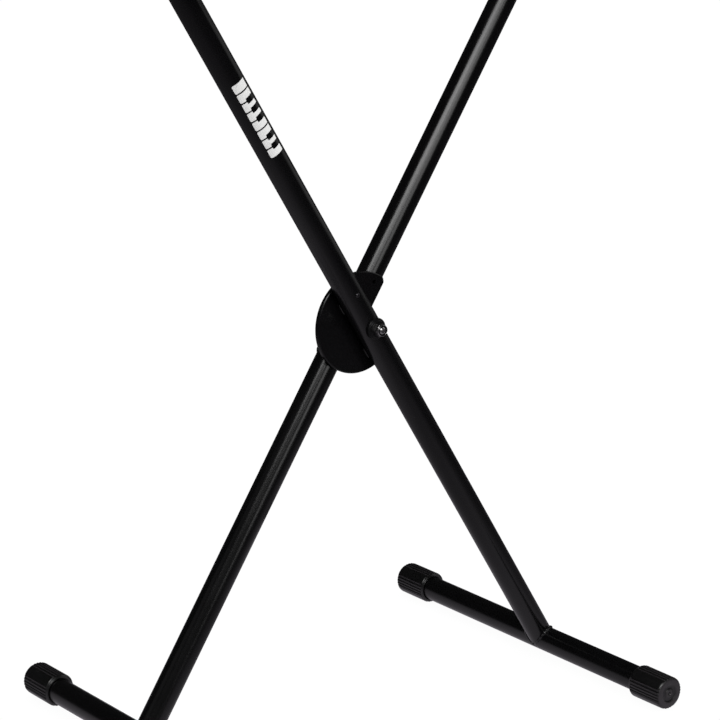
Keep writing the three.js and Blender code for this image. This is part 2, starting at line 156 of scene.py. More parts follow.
# Surface grain: a wide soft swell plus fine pits, and slow drifts of roughness and tone.
def buildGrainGroup():
    group, given, out = newGroup(
        "surfaceGrain",
        [("Swell Scale", "NodeSocketFloat", 300.0), ("Pit Scale", "NodeSocketFloat", 2500.0),
         ("Pit Share", "NodeSocketFloat", 0.4), ("Roughness", "NodeSocketFloat", 0.4),
         ("Roughness Drift", "NodeSocketFloat", 0.08), ("Dark", "NodeSocketColor", (0.01, 0.01, 0.01, 1)),
         ("Light", "NodeSocketColor", (0.02, 0.02, 0.02, 1))],
        [("Color", "NodeSocketColor"), ("Roughness", "NodeSocketFloat"), ("Height", "NodeSocketFloat")])
    link = group.links.new
    where = addNode(group, "TexCoord", (-900, 0))
    swell = addNode(group, "TexNoise", (-650, 200), Detail=2.0, Roughness=0.5)
    pits = addNode(group, "TexVoronoi", (-650, -50))
    drift = addNode(group, "TexNoise", (-650, -300), Scale=14.0, Detail=4.0, Roughness=0.6)
    for node in (swell, pits, drift):
        link(where.outputs["Object"], node.inputs["Vector"])
    link(given.outputs["Swell Scale"], swell.inputs["Scale"])
    link(given.outputs["Pit Scale"], pits.inputs["Scale"])
    pitHeight = combine(group, "MULTIPLY", pits.outputs["Distance"], given.outputs["Pit Share"], (-400, -50))
    link(combine(group, "ADD", swell.outputs["Fac"], pitHeight, (-200, 100)), out.inputs["Height"])
    centred = scaled(group, drift.outputs["Fac"], 1.0, -0.5, (-400, -300))
    rough = scaled(group, centred, given.outputs["Roughness Drift"], given.outputs["Roughness"], (-200, -200))
    link(rough, out.inputs["Roughness"])
    tone = addNode(group, "Mix", (-200, -450), data_type="RGBA")
    link(drift.outputs["Fac"], tone.inputs["Factor"])
    link(given.outputs["Dark"], tone.inputs["A"])
    link(given.outputs["Light"], tone.inputs["B"])
    link(tone.outputs["Result"], out.inputs["Color"])
    return group


# Handling marks: sparse fine scratches and specks, as a mask from 0 to 1.
def buildMarksGroup():
    group, given, out = newGroup(
        "handlingMarks",
        [("Scale", "NodeSocketFloat", 60.0), ("Stretch", "NodeSocketVector", (1.0, 1.0, 1.0)),
         ("Amount", "NodeSocketFloat", 0.3)],
        [("Mask", "NodeSocketFloat")])
    link = group.links.new
    where = addNode(group, "TexCoord", (-900, 0))
    stretched = addNode(group, "VectorMath", (-700, 0), operation="MULTIPLY")
    link(where.outputs["Object"], stretched.inputs[0])
    link(given.outputs["Stretch"], stretched.inputs[1])
    scratch = addNode(group, "TexNoise", (-500, 100), Detail=6.0, Roughness=0.75)
    patch = addNode(group, "TexNoise", (-500, -150), Scale=9.0, Detail=2.0)
    link(stretched.outputs[0], scratch.inputs["Vector"])
    link(given.outputs["Scale"], scratch.inputs["Scale"])
    link(where.outputs["Object"], patch.inputs["Vector"])
    # only the peaks of both noises are kept
    sharp = scaled(group, scratch.outputs["Fac"], 9.0, -5.6, (-300, 100))
    broad = scaled(group, patch.outputs["Fac"], 5.0, -2.3, (-300, -150))
    for node in (sharp.node, broad.node):
        node.use_clamp = True
    both = combine(group, "MULTIPLY", sharp, broad, (-150, 0))
    link(combine(group, "MULTIPLY", both, given.outputs["Amount"], (0, 0)), out.inputs["Mask"])
    return group


grainGroup = buildGrainGroup()
marksGroup = buildMarksGroup()

# One entry for each finish. Swell and pit are counts per metre, and depth is the bump distance in metres.
finishes = {
    "powderCoat": {
        "slot": "powder_coat", "metallic": 0.0, "roughness": 0.22, "drift": 0.08, "specular": 0.5,
        "dark": (0.0007, 0.0007, 0.0009), "light": (0.0022, 0.0021, 0.0024),
        "swell": 420, "pit": 1500, "pitShare": 0.25, "depth": 0.00012, "bump": 0.07,
        "marks": 0.3, "markTone": (0.02, 0.02, 0.021)},
    "capRubber": {
        "slot": "cap_rubber", "metallic": 0.0, "roughness": 0.28, "drift": 0.12, "specular": 0.8,
        "dark": (0.0012, 0.0012, 0.0013), "light": (0.004, 0.0039, 0.0041),
        "swell": 260, "pit": 2600, "pitShare": 0.6, "depth": 0.00014, "bump": 0.2,
        "marks": 0.8, "markTone": (0.05, 0.048, 0.05)},
    "gripRubber": {
        "slot": "grip_rubber", "metallic": 0.0, "roughness": 0.62, "drift": 0.1, "specular": 0.45,
        "dark": (0.004, 0.004, 0.0042), "light": (0.011, 0.011, 0.0115),
        "swell": 500, "pit": 3600, "pitShare": 0.9, "depth": 0.00015, "bump": 0.35,
        "marks": 0.5, "markTone": (0.04, 0.04, 0.042)},
    "zincPlate": {
        "slot": "zinc_plate", "metallic": 1.0, "roughness": 0.24, "drift": 0.16, "specular": 0.5,
        "dark": (0.38, 0.38, 0.39), "light": (0.66, 0.65, 0.64),
        "swell": 700, "pit": 3000, "pitShare": 0.3, "depth": 0.00004, "bump": 0.2,
        "marks": 0.6, "markTone": (0.25, 0.25, 0.26)},
    "blackOxide": {
        "slot": "black_oxide", "metallic": 0.9, "roughness": 0.3, "drift": 0.2, "specular": 0.5,
        "dark": (0.03, 0.03, 0.033), "light": (0.08, 0.077, 0.083),
        "swell": 900, "pit": 4000, "pitShare": 0.4, "depth": 0.00004, "bump": 0.25,
        "marks": 1.0, "markTone": (0.4, 0.4, 0.41)},
    "blackPlastic": {
        "slot": "black_plastic", "metallic": 0.0, "roughness": 0.33, "drift": 0.12, "specular": 0.3,
        "dark": (0.0015, 0.0015, 0.0017), "light": (0.004, 0.004, 0.0043),
        "swell": 600, "pit": 3200, "pitShare": 0.6, "depth": 0.00008, "bump": 0.2,
        "marks": 0.5, "markTone": (0.05, 0.05, 0.052)},
    "springSteel": {
        "slot": "spring_steel", "metallic": 1.0, "roughness": 0.26, "drift": 0.14, "specular": 0.5,
        "dark": (0.3, 0.3, 0.31), "light": (0.45, 0.45, 0.46),
        "swell": 1200, "pit": 4000, "pitShare": 0.3, "depth": 0.00002, "bump": 0.2,
        "marks": 0.4, "markTone": (0.15, 0.14, 0.14)},
    "whiteInk": {
        "slot": "white_ink", "metallic": 0.0, "roughness": 0.48, "drift": 0.12, "specular": 0.4,
        "dark": (0.88, 0.88, 0.87), "light": (0.96, 0.96, 0.95),
        "swell": 800, "pit": 3600, "pitShare": 0.5, "depth": 0.00003, "bump": 0.25,
        "marks": 0.7, "markTone": (0.05, 0.05, 0.05)},
}

# Marks are drawn out along Y, the way of the cross tubes, and roughen what they cross.
handling = {"scale": 70, "stretch": (1.0, 0.35, 1.4), "roughens": 0.12}


def makeMaterial(name, f):
    material = bpy.data.materials.new(name)
    material.use_nodes = True
    tree = material.node_tree
    link = tree.links.new
    shader = tree.nodes["Principled BSDF"]
    shader.inputs["Metallic"].default_value = f["metallic"]
    shader.inputs["Specular IOR Level"].default_value = f["specular"]
    grain = addNode(tree, "Group", (-700, 200), node_tree=grainGroup)
    for label, value in (("Swell Scale", f["swell"]), ("Pit Scale", f["pit"]), ("Pit Share", f["pitShare"]),
                         ("Roughness", f["roughness"]), ("Roughness Drift", f["drift"]),
                         ("Dark", (*f["dark"], 1)), ("Light", (*f["light"], 1))):
        grain.inputs[label].default_value = value
    marks = addNode(tree, "Group", (-700, -200), node_tree=marksGroup)
    marks.inputs["Scale"].default_value = handling["scale"]
    marks.inputs["Stretch"].default_value = handling["stretch"]
    marks.inputs["Amount"].default_value = f["marks"]
    colour = addNode(tree, "Mix", (-400, 200), data_type="RGBA")
    link(marks.outputs["Mask"], colour.inputs["Factor"])
    link(grain.outputs["Color"], colour.inputs["A"])
    colour.inputs["B"].default_value = (*f["markTone"], 1)
    link(colour.outputs["Result"], shader.inputs["Base Color"])
    rough = scaled(tree, marks.outputs["Mask"], handling["roughens"], grain.outputs["Roughness"], (-400, -50))
    link(rough, shader.inputs["Roughness"])
    bump = addNode(tree, "Bump", (-250, -250), Strength=f["bump"], Distance=f["depth"])
    link(grain.outputs["Height"], bump.inputs["Height"])
    link(bump.outputs["Normal"], shader.inputs["Normal"])
    return material


materials = {name: makeMaterial(name, f) for name, f in finishes.items()}

# The paler cap tone is partly scuff and dust and partly painted highlight on the caps' end faces and rib
# crests, with painted shade left in the grooves and recessed rings.
capScuffAndSheen = {"tone": (0.021, 0.018, 0.021, 1), "roughness": 0.14, "inset": 0.0001, "fade": 0.001,
            "patchScale": 420.0, "patchGain": 1.6, "patchShift": 0.1}


# The caps' flat ends and the crests of their ribs get a paler tone. It is partly scuff and dust, and partly
# painted highlight where light would fall on the raised parts, so the grooves and the end face's recessed
# rings stay darker as painted shade. The tone fades in just short of the end face, by the distance |y| along
# the foot, and over each crest, both broken up by noise.
def paintCapScuffAndSheen(material, endY):
    tree = material.node_tree
    link = tree.links.new
    shader = tree.nodes["Principled BSDF"]
    where = addNode(tree, "TexCoord", (-1300, 500))
    parts = addNode(tree, "SeparateXYZ", (-1100, 500))
    noise = addNode(tree, "TexNoise", (-1100, 750), Detail=5.0, Roughness=0.7)
    noise.inputs["Scale"].default_value = capScuffAndSheen["patchScale"]
    link(where.outputs["Object"], parts.inputs[0])
    link(where.outputs["Object"], noise.inputs["Vector"])
    reach = combine(tree, "ABSOLUTE", parts.outputs["Y"], 0.0, (-900, 500))
    start = endY - capScuffAndSheen["inset"] - capScuffAndSheen["fade"]
    edge = scaled(tree, reach, 1 / capScuffAndSheen["fade"], -start / capScuffAndSheen["fade"], (-700, 500))
    edge.node.use_clamp = True
    patchy = scaled(tree, noise.outputs["Fac"], capScuffAndSheen["patchGain"], capScuffAndSheen["patchShift"], (-700, 750))
    patchy.node.use_clamp = True
    # Each crest's share of the paler tone, which is scuff and painted highlight, as marked on the cap's mesh.
    crestScuffAndSheen = addNode(tree, "Attribute", (-1100, 1000), attribute_name="crestScuffAndSheen")
    either = combine(tree, "MAXIMUM", edge, crestScuffAndSheen.outputs["Fac"], (-600, 650))
    scuffAndSheenMask = combine(tree, "MULTIPLY", either, patchy, (-500, 600))
    tint = addNode(tree, "Mix", (-200, 400), data_type="RGBA")
    link(scuffAndSheenMask, tint.inputs["Factor"])
    plainTone = shader.inputs["Base Color"].links[0].from_socket
    link(plainTone, tint.inputs["A"])
    tint.inputs["B"].default_value = capScuffAndSheen["tone"]
    link(tint.outputs["Result"], shader.inputs["Base Color"])
    plainRough = shader.inputs["Roughness"].links[0].from_socket
    rougher = scaled(tree, scuffAndSheenMask, capScuffAndSheen["roughness"], plainRough, (-200, 50))
    link(rougher, shader.inputs["Roughness"])


paintCapScuffAndSheen(materials["capRubber"], span("front_foot_cap_far", 1)[1])
print("materials made:", len(materials))


# Mesh helpers: every shape is a grid of points worked out as whole arrays.

# A closed skin's volume, below zero if it is inside out: the sum over triangles of a . (b x c) / 6.
def signedVolume(points, faces):
    total = 0.0
    for count in (3, 4):
        group = np.array([f for f in faces if len(f) == count], int).reshape(-1, count)
        for k in range(1, count - 1):
            a, b, c = points[group[:, 0]], points[group[:, k]], points[group[:, k + 1]]
            total += np.einsum("ij,ij->i", a, np.cross(b, c)).sum()
    return total / 6


# A mesh with outward faces, smooth but for edges sharper than sharpAngle, which rides on its body.
def makePiece(name, points, faces, finish, body, nodes=(), sharpAngle=35):
    points = np.asarray(points, float)
    if signedVolume(points - points.mean(0), faces) < 0:
        faces = [f[::-1] for f in faces]
    mesh = bpy.data.meshes.new(name)
    mesh.from_pydata(points.tolist(), [], faces)
    mesh.update()
    mesh.shade_smooth()
    mesh.set_sharp_from_angle(angle=math.radians(sharpAngle))
    obj = bpy.data.objects.new(name, mesh)
    scene.collection.objects.link(obj)
    mesh.materials.append(materials[finish])
    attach(obj, body)
    if nodes:
        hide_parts(*nodes)
    return obj


# Faces of a grid with rows and columns; columns close on themselves, and rows too if asked.
def gridFaces(rows, columns, closeRows=False):
    i = np.arange(rows if closeRows else rows - 1)[:, None]
    j = np.arange(columns)[None, :]
    nextRow, nextColumn = (i + 1) % rows, (j + 1) % columns
    quads = np.stack([i * columns + j, i * columns + nextColumn,
                      nextRow * columns + nextColumn, nextRow * columns + j], -1)
    return quads.reshape(-1, 4).tolist()


# A closed skin over rings of points (rings, columns, 3): a torus if closed, else a point shuts each end.
def skin(rings, closed=False):
    rows, columns = rings.shape[:2]
    points = rings.reshape(-1, 3)
    faces = gridFaces(rows, columns, closeRows=closed)
    if closed:
        return points, faces
    points = np.vstack([points, rings[0].mean(0), rings[-1].mean(0)])
    first, last = len(points) - 2, len(points) - 1
    for j in range(columns):
        k = (j + 1) % columns
        faces.append([first, k, j])
        faces.append([last, (rows - 1) * columns + j, (rows - 1) * columns + k])
    return points, faces


# Several skins as one.
def joinParts(parts):
    points, faces, start = [], [], 0
    for p, f in parts:
        points.append(p)
        faces += [[i + start for i in face] for face in f]
        start += len(p)
    return np.vstack(points), faces


# A profile with each corner replaced by an arc: the points at distance r along both sides of a
# corner are joined by a quadratic curve. Corners are (x, y, r).
def roundedProfile(corners, steps=5, closed=False):
    p = np.array([c[:2] for c in corners], float)
    r = [c[2] for c in corners]
    count, out = len(p), []
    for i in range(count):
        if not closed and i in (0, count - 1):
            out.append(p[i][None])
            continue
        before, after = p[i - 1] - p[i], p[(i + 1) % count] - p[i]
        lengths = np.linalg.norm(before), np.linalg.norm(after)
        reach = min(r[i], 0.49 * lengths[0], 0.49 * lengths[1])
        if reach < 1e-6:
            out.append(p[i][None])
            continue
        a, b = p[i] + before / lengths[0] * reach, p[i] + after / lengths[1] * reach
        t = np.linspace(0, 1, steps)[:, None]
        out.append((1 - t) ** 2 * a + 2 * t * (1 - t) * p[i] + t * t * b)
    return np.vstack(out)


# The profile (radius, y) in millimetres turned about the line along Y through centre:
# x = r sin u, z = r cos u. radiusAt may change r with y and u.
def turnedRings(profile, centre, count=96, radiusAt=None):
    u = np.linspace(0, 2 * np.pi, count, endpoint=False)[None, :]
    r, y = profile[:, 0][:, None], profile[:, 1][:, None]
    radius = r + 0 * u if radiusAt is None else radiusAt(r, y, u)
    x, z = radius * np.sin(u), radius * np.cos(u)
    return np.stack([x * mm + centre[0], y * mm + 0 * u, z * mm + centre[2]], -1)


# A piece turned from its profile's corners; a closed profile makes a ring.
def turnedPiece(name, corners, centre, finish, body, nodes, count=96, closed=False):
    rings = turnedRings(roundedProfile(corners, closed=closed), centre, count)
    makePiece(name, *skin(rings, closed), finish, body, nodes)


# From a leg's own frame, with its axis along Z through the pivot, to the stand's frame.
def legToStand(points, side):
    turn = side * legTilt
    x, y, z = points[..., 0], points[..., 1], points[..., 2]
    return np.stack([x * math.cos(turn) + z * math.sin(turn), y,
                     -x * math.sin(turn) + z * math.cos(turn) + pivot.z], -1)


# Tubes.
tube = {"wall": 0.0014, "columns": 120, "rows": 40, "edge": 0.0005, "weldGap": 0.0001}


# Both skins of a leg. Each end is a saddle on the cross tube: z = half leg less sqrt(R^2 - x^2), where R
# is the tube's radius and a small gap.
def makeLeg(name, side, body, node):
    u = np.linspace(0, 2 * np.pi, tube["columns"], endpoint=False)[None, :]
    share = np.linspace(-1, 1, tube["rows"])[:, None]

    def wallSkin(radius):
        x = radius * np.sin(u)
        y = side * legY + radius * np.cos(u)
        reach = halfLeg - np.sqrt((tubeRadius + tube["weldGap"]) ** 2 - x ** 2)
        return np.stack([x + 0 * share, y + 0 * share, share * reach], -1)

    outer, inner = wallSkin(tubeRadius), wallSkin(tubeRadius - tube["wall"])
    rings = legToStand(np.vstack([outer, inner[::-1]]), side)
    makePiece(name, *skin(rings, True), "powderCoat", body, [node], 50)


# An open tube along Y with rolled edges: its wall's section turned about the tube's axis.
def makeCrossTube(name, centre, halfLength, body, node):
    inner, r, e = tubeRadius - tube["wall"], tubeRadius, tube["edge"]
    corners = [(inner, -halfLength, e), (r, -halfLength, e), (r, halfLength, e), (inner, halfLength, e)]
    corners = [(a / mm, b / mm, c / mm) for a, b, c in corners]
    turnedPiece(name, corners, centre, "powderCoat", body, [node], tube["columns"], True)


frameSides = {"front": -1, "rear": 1}
for frameName, side in frameSides.items():
    body = frameName + "_frame"
    makeLeg(frameName + "Leg", side, body, frameName + "_leg_tube")
    foot, bar = frameName + "_foot_tube", frameName + "_top_bar"
    makeCrossTube(frameName + "FootTube", middle(foot), span(foot, 1)[1], body, foot)
    makeCrossTube(frameName + "TopBar", middle(bar), span(bar, 1)[1], body, bar)
print("tubes made")


# Weld beads.
# A wobble is (waves, amount), and a lump is (place, height, width) in radians round the leg.
weld = {"radius": 0.0028, "sideRadius": 0.001, "ripples": 18, "rippleDepth": 0.26, "across": 18, "along": 420,
        "wobbles": ((5, 0.12), (11, 0.09), (17, 0.05)), "endShift": 1.3,
        "lumps": ((2.7, 0.9, 0.14), (2.3, 0.6, 0.09), (5.6, 0.5, 0.12))}


# A rippled ring in the corner between a leg and its cross tube. Its centre line is the saddle curve,
# and its section is a circle in the plane of the leg's axis and the leg's own outward direction. Its size
# is a ripple of |sin| times the sum of 1, the wobbles' sines and, where the bead was started and stopped,
# lumps of height * exp(-((u - place) / width)^2).
def makeSaddleWeld(name, side, end, body):
    u = np.linspace(0, 2 * np.pi, weld["along"], endpoint=False)[:, None]
    v = np.linspace(0, 2 * np.pi, weld["across"], endpoint=False)[None, :]
    x, y = tubeRadius * np.sin(u), tubeRadius * np.cos(u)
    z = end * (halfLeg - np.sqrt(tubeRadius ** 2 - x ** 2 + 1e-12))
    ripple = 1 + weld["rippleDepth"] * np.abs(np.sin(weld["ripples"] * u / 2)) - weld["rippleDepth"] / 2
    wander = 1
    for (waves, amount), shift in zip(weld["wobbles"], (weld["endShift"] * end, side, 0)):
        wander = wander + amount * np.sin(waves * u + shift)
    for place, height, width in weld["lumps"]:
        wander = wander + height * np.exp(-((u - place) / width) ** 2)
    fullness = np.cos(u) ** 2
    size = (weld["sideRadius"] + (weld["radius"] - weld["sideRadius"]) * fullness) * ripple * wander
    outward = size * np.cos(v)
    rings = np.stack([x + outward * np.sin(u), side * legY + y + outward * np.cos(u),
                      z - end * size * np.sin(v)], -1)
    makePiece(name, *skin(legToStand(rings, side), True), "powderCoat", body, (), 60)


for frameName, side in frameSides.items():
    makeSaddleWeld(frameName + "FootWeld", side, -1, frameName + "_frame")
    makeSaddleWeld(frameName + "BarWeld", side, 1, frameName + "_frame")


# The two short welds between the disc and the front leg. Offset, depth and size are in metres, and each
# weld's start and end are measured along the leg from the pivot.
discWeld = {"offset": 0.0105, "depth": 0.0035, "size": 0.0016, "along": 60, "across": 16, "ripples": 9,
            "plain": 0.94, "rippleHeight": 0.1, "tipShare": 0.02,
            "upper": (0.0215, 0.036), "lower": (-0.041, -0.0265)}


# A short rippled bead between two points, with tapered ends: radius = size * sqrt(1 - t^4) * ripple.
def makeBead(name, start, end, body):
    t = np.linspace(-1, 1, discWeld["along"])[:, None]
    v = np.linspace(0, 2 * np.pi, discWeld["across"], endpoint=False)[None, :]
    depthways = Vector((0, 1, 0))
    sideways = (end - start).normalized().cross(depthways)
    centre = np.array(start) + (t[..., None] + 1) / 2 * np.array(end - start)
    taper = np.sqrt(np.maximum(1 - t ** 4, discWeld["tipShare"] ** 2))
    ripple = discWeld["plain"] + discWeld["rippleHeight"] * np.abs(np.sin(discWeld["ripples"] * t))
    radius = discWeld["size"] * taper * ripple
    rings = centre + (radius * np.cos(v))[..., None] * np.array(sideways)
    rings = rings + (radius * np.sin(v))[..., None] * np.array(depthways)
    makePiece(name, *skin(rings), "powderCoat", body, (), 60)


frontUp = Vector((-math.sin(legTilt), 0, math.cos(legTilt)))
frontRight = Vector((math.cos(legTilt), 0, math.sin(legTilt)))
rearUp = Vector((math.sin(legTilt), 0, math.cos(legTilt)))
rearRight = Vector((math.cos(legTilt), 0, -math.sin(legTilt)))
for place in ("upper", "lower"):
    ends = [pivot + frontUp * s - frontRight * discWeld["offset"] - Vector((0, discWeld["depth"], 0))
            for s in discWeld[place]]
    makeBead(place + "DiscWeld", *ends, "front_frame")
print("welds made")


# Flat pressed parts: an outline, a front and a back skin, and an edge that may turn into a rim.

# Points of an outline moved inwards along the mean of the two edge normals at each point.
def inset(outline, distance):
    ahead = np.roll(outline, -1, 0) - outline
    behind = outline - np.roll(outline, 1, 0)
    ahead /= np.linalg.norm(ahead, axis=1)[:, None]
    behind /= np.linalg.norm(behind, axis=1)[:, None]
    along = ahead + behind
    along /= np.linalg.norm(along, axis=1)[:, None]
    return outline + np.stack([-along[:, 1], along[:, 0]], 1) * distance


# More points along each side of an outline, about one step apart.
def densify(outline, step):
    out = []
    for a, b in zip(outline, np.roll(outline, -1, 0)):
        count = max(1, int(round(np.linalg.norm(b - a) / step)))
        out.append(a + (b - a) * np.arange(count)[:, None] / count)
    return np.vstack(out)


# centre + radius * (cos a, sin a)
def circle(centre, radius, count):
    a = np.linspace(0, 2 * np.pi, count, endpoint=False)
    return np.stack([centre[0] + radius * np.cos(a), centre[1] + radius * np.sin(a)], 1)


# The outline and the holes run counterclockwise in (x, z) millimetres from the pivot. rim gives, for each
# outline point, how far its turned edge reaches behind the plate's back face. The edge is a quarter circle
# at the front and a smaller one at the back, and the rim's inner side comes back to the plate.
def makePlate(name, outline, holes, front, back, edge, rim, wall, finish, body, nodes, toStand):
    rim = np.zeros(len(outline)) if rim is None else rim
    arc = np.linspace(0, np.pi / 2, 7)
    backEdge = edge * 0.6
    levels = []
    for a in arc:
        inwards, behind = 1 - math.sin(a), 1 - math.cos(a)
        levels.append((inset(outline, edge * inwards), front + edge * behind + 0 * rim))
    for a in arc:
        inwards, before = 1 - math.cos(a), 1 - math.sin(a)
        levels.append((inset(outline, backEdge * inwards), back + rim - backEdge * before))
    hasRim = rim[:, None] > 0.05
    levels.append((np.where(hasRim, inset(outline, wall), inset(outline, edge * 0.7)), back + rim))
    levels.append((inset(outline, wall + 0.3), back + 0.2 * np.minimum(rim, 1)))
    levels.append((inset(outline, wall + 0.9), back + 0 * rim))
    rings = np.stack([np.stack([p[:, 0], y, p[:, 1]], 1) for p, y in levels])
    count = len(outline)
    points = [rings.reshape(-1, 3)]
    faces = gridFaces(len(levels), count)
    holeStart = len(levels) * count
    frontLoops = [list(range(count))]
    backLoops = [list(range(holeStart - count, holeStart))]
    for hole in holes:
        n = len(hole)
        for y, loops in ((front, frontLoops), (back, backLoops)):
            points.append(np.stack([hole[:, 0], np.full(n, y), hole[:, 1]], 1))
        frontLoops.append(list(range(holeStart, holeStart + n)))
        backLoops.append(list(range(holeStart + n, holeStart + 2 * n)))
        for j in range(n):
            k = (j + 1) % n
            faces.append([holeStart + j, holeStart + n + j, holeStart + n + k, holeStart + k])
        holeStart += 2 * n
    points = np.vstack(points)
    for loops, flip in ((frontLoops, False), (backLoops, True)):
        order = [i for loop in loops for i in loop]
        flat = [[Vector((points[i][0], points[i][2], 0)) for i in loop] for loop in loops]
        for tri in tessellate_polygon(flat):
            corner = [order[i] for i in tri]
            a, b, c = points[corner]
            area = (b[0] - a[0]) * (c[2] - a[2]) - (b[2] - a[2]) * (c[0] - a[0])
            if abs(area) < 1e-9:
                continue
            if (area > 0) == flip:
                corner = corner[::-1]
            faces.append(corner)
    makePiece(name, toStand(points), faces, finish, body, nodes, 30)


# Millimetres from the pivot to metres in the stand's frame.
def fromPivot(points):
    return points * mm + np.array(pivot)


# The lock disc: an arc of a circle, a jaw edge beside the rear leg and a mouth edge beside the front leg.
disc = {"faceThickness": 2.0, "edge": 1.5, "wall": 1.9, "jawOffset": 7, "jawDepth": 12, "jawRound": 9,
        "tipRound": 1.6, "cornerCut": 4, "cutRound": 2.2, "arcPoints": 40, "arcRound": 8, "mouthOffset": 15,
        "mouthRound": 3, "spacing": 0.8, "rimRun": 6, "rimBand": 1.2,
        "hangHole": (19.6, 42.0, 2.1), "rivetReach": 47.6, "rivetHole": 2.3, "boltHole": 4.4}


def makeLockDisc():
    discLow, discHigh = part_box("lock_disc")
    radius = (pivot.x - discLow.x) / mm
    front, rimBack = discLow.y / mm, discHigh.y / mm
    back = front + disc["faceThickness"]
    flat = {n: np.array((v.x, v.z)) for n, v in
            (("frontUp", frontUp), ("frontRight", frontRight), ("rearUp", rearUp), ("rearRight", rearRight))}

    def onCircle(direction, side, offset, r):
        return direction * math.sqrt(r * r - offset * offset) + side * offset

    cut = disc["cornerCut"]
    jawTip = onCircle(flat["rearUp"], flat["rearRight"], disc["jawOffset"], radius - cut)
    jawRim = onCircle(flat["rearUp"], flat["rearRight"], disc["jawOffset"] - cut, radius)
    mouthRim = onCircle(-flat["frontUp"], flat["frontRight"], disc["mouthOffset"], radius)
    inner = flat["rearUp"] * disc["jawDepth"] + flat["rearRight"] * disc["jawOffset"]
    startAngle = math.atan2(jawRim[1], jawRim[0])
    endAngle = math.atan2(mouthRim[1], mouthRim[0]) + 2 * math.pi
    a = np.linspace(startAngle, endAngle, disc["arcPoints"])[1:-1]
    arcPoints = [(radius * math.cos(t), radius * math.sin(t), disc["arcRound"]) for t in a]
    corners = [(*inner, disc["jawRound"]), (*jawTip, disc["tipRound"]), (*jawRim, disc["cutRound"]),
               *arcPoints, (*mouthRim, disc["mouthRound"])]
    outline = densify(roundedProfile(corners, 9, True), disc["spacing"])
    keep = np.linalg.norm(outline - np.roll(outline, 1, 0), axis=1) > 0.05
    outline = outline[keep]
    # the rim rises smoothly from nothing at both ends of the arc
    r, angle = np.hypot(*outline.T), np.arctan2(outline[:, 1], outline[:, 0]) % (2 * np.pi)
    intoArc = np.minimum(angle - startAngle, endAngle - angle)
    ramp = np.clip(np.where(intoArc > 0, intoArc * radius / disc["rimRun"], 0), 0, 1)
    ramp = ramp * (r > radius - disc["rimBand"])
    rim = (rimBack - back) * ramp * ramp * (3 - 2 * ramp)
    hx, hz, hr = disc["hangHole"]
    rivetAt = flat["frontUp"] * disc["rivetReach"]
    holes = [circle((0, 0), disc["boltHole"], 40), circle((hx, hz), hr, 32),
             circle(rivetAt, disc["rivetHole"], 32)]
    makePlate("lockDisc", outline, holes, front, back, disc["edge"], rim, disc["wall"],
              "powderCoat", "front_frame", ["lock_disc"], fromPivot)


makeLockDisc()

# The carrier is a plate with two round ends, one round the bolt and one round the lock pin.
carrier = {"boltEnd": 10, "pinEnd": 7, "reach": 40, "edge": 0.5, "wall": 0.6, "boltHole": 4.4, "pinHole": 2.3,
           "spacing": 1.2}


def makeCarrier():
    front, back = (v / mm for v in span("pin_carrier", 1))
    half = np.linspace(0, np.pi, 48)
    big = carrier["boltEnd"] * np.stack([np.cos(half), np.sin(half)], 1)
    small = -carrier["pinEnd"] * np.stack([np.cos(half), np.sin(half)], 1)
    outline = densify(np.vstack([big, small - [0, carrier["reach"]]]), carrier["spacing"])
    holes = [circle((0, 0), carrier["boltHole"], 40), circle((0, -carrier["reach"]), carrier["pinHole"], 28)]
    makePlate("pinCarrier", outline, holes, front, back, carrier["edge"], None, carrier["wall"],
              "blackOxide", "lock", ["pin_carrier"], lambda p: legToStand(p * mm, 1))


makeCarrier()
print("disc and carrier made")


# Ribbed foot caps.
# Sizes are in millimetres, pitch in degrees round the cap, and the rib's fades in millimetres along it.
footCap = {"mouth": 178.5, "end": 226.5, "radius": 18.4, "endRound": 5.0, "collarStep": 0.75,
           "eccentric": 1.0, "bore": 14.05, "boreEnd": 222.8, "groups": 4, "perGroup": 5, "pitch": 11.2,
           "steepness": 2.2, "grooveBias": 0.15, "ribDepth": 1.6, "ribStart": 181.0, "ribLead": 0.4,
           "startFade": 0.9, "endInset": 0.45, "endFade": 1.9, "shoulder": 3.6, "columns": 720}


# Degrees from the middle of the nearest group of ribs, and half of the group's width.
def intoGroup(angle):
    period = 360 / footCap["groups"]
    half = footCap["perGroup"] * footCap["pitch"] / 2
    return (np.degrees(angle) + period / 2) % period - period / 2, half


# Rib height from 0 in a groove to 1 on a crest: a steepened cosine with narrow crests in each group, and 1
# on the plain land between the groups.
def ribHeight(angle):
    local, half = intoGroup(angle)
    pitch = footCap["pitch"]
    wave = np.cos(2 * np.pi * local / pitch) - footCap["grooveBias"]
    wave = 0.5 + 0.5 * np.tanh(footCap["steepness"] * wave)
    land = np.clip((np.abs(local) - half + 0.5 * pitch) / (0.3 * pitch), 0, 1)
    return np.where(np.abs(local) < half - 0.15 * pitch, wave, np.maximum(wave, land))


# How much of the paler tone a point of the outside gets, from 0 to 1, as scuff and as painted highlight on
# the rib crests: a bell over each crest, and nothing between the groups.
def crestScuffAndSheenAt(angle):
    local, half = intoGroup(angle)
    return np.clip(np.cos(2 * np.pi * local / footCap["pitch"]), 0, 1) * (np.abs(local) < half)


# How much of a rib's height there is at y along the cap: a straight rise at its start and one at its end.
def ribShare(y):
    c = footCap
    start = np.clip((y - c["ribStart"] + c["ribLead"]) / c["startFade"], 0, 1)
    return start * np.clip((c["end"] - c["endInset"] - y) / c["endFade"], 0, 1)


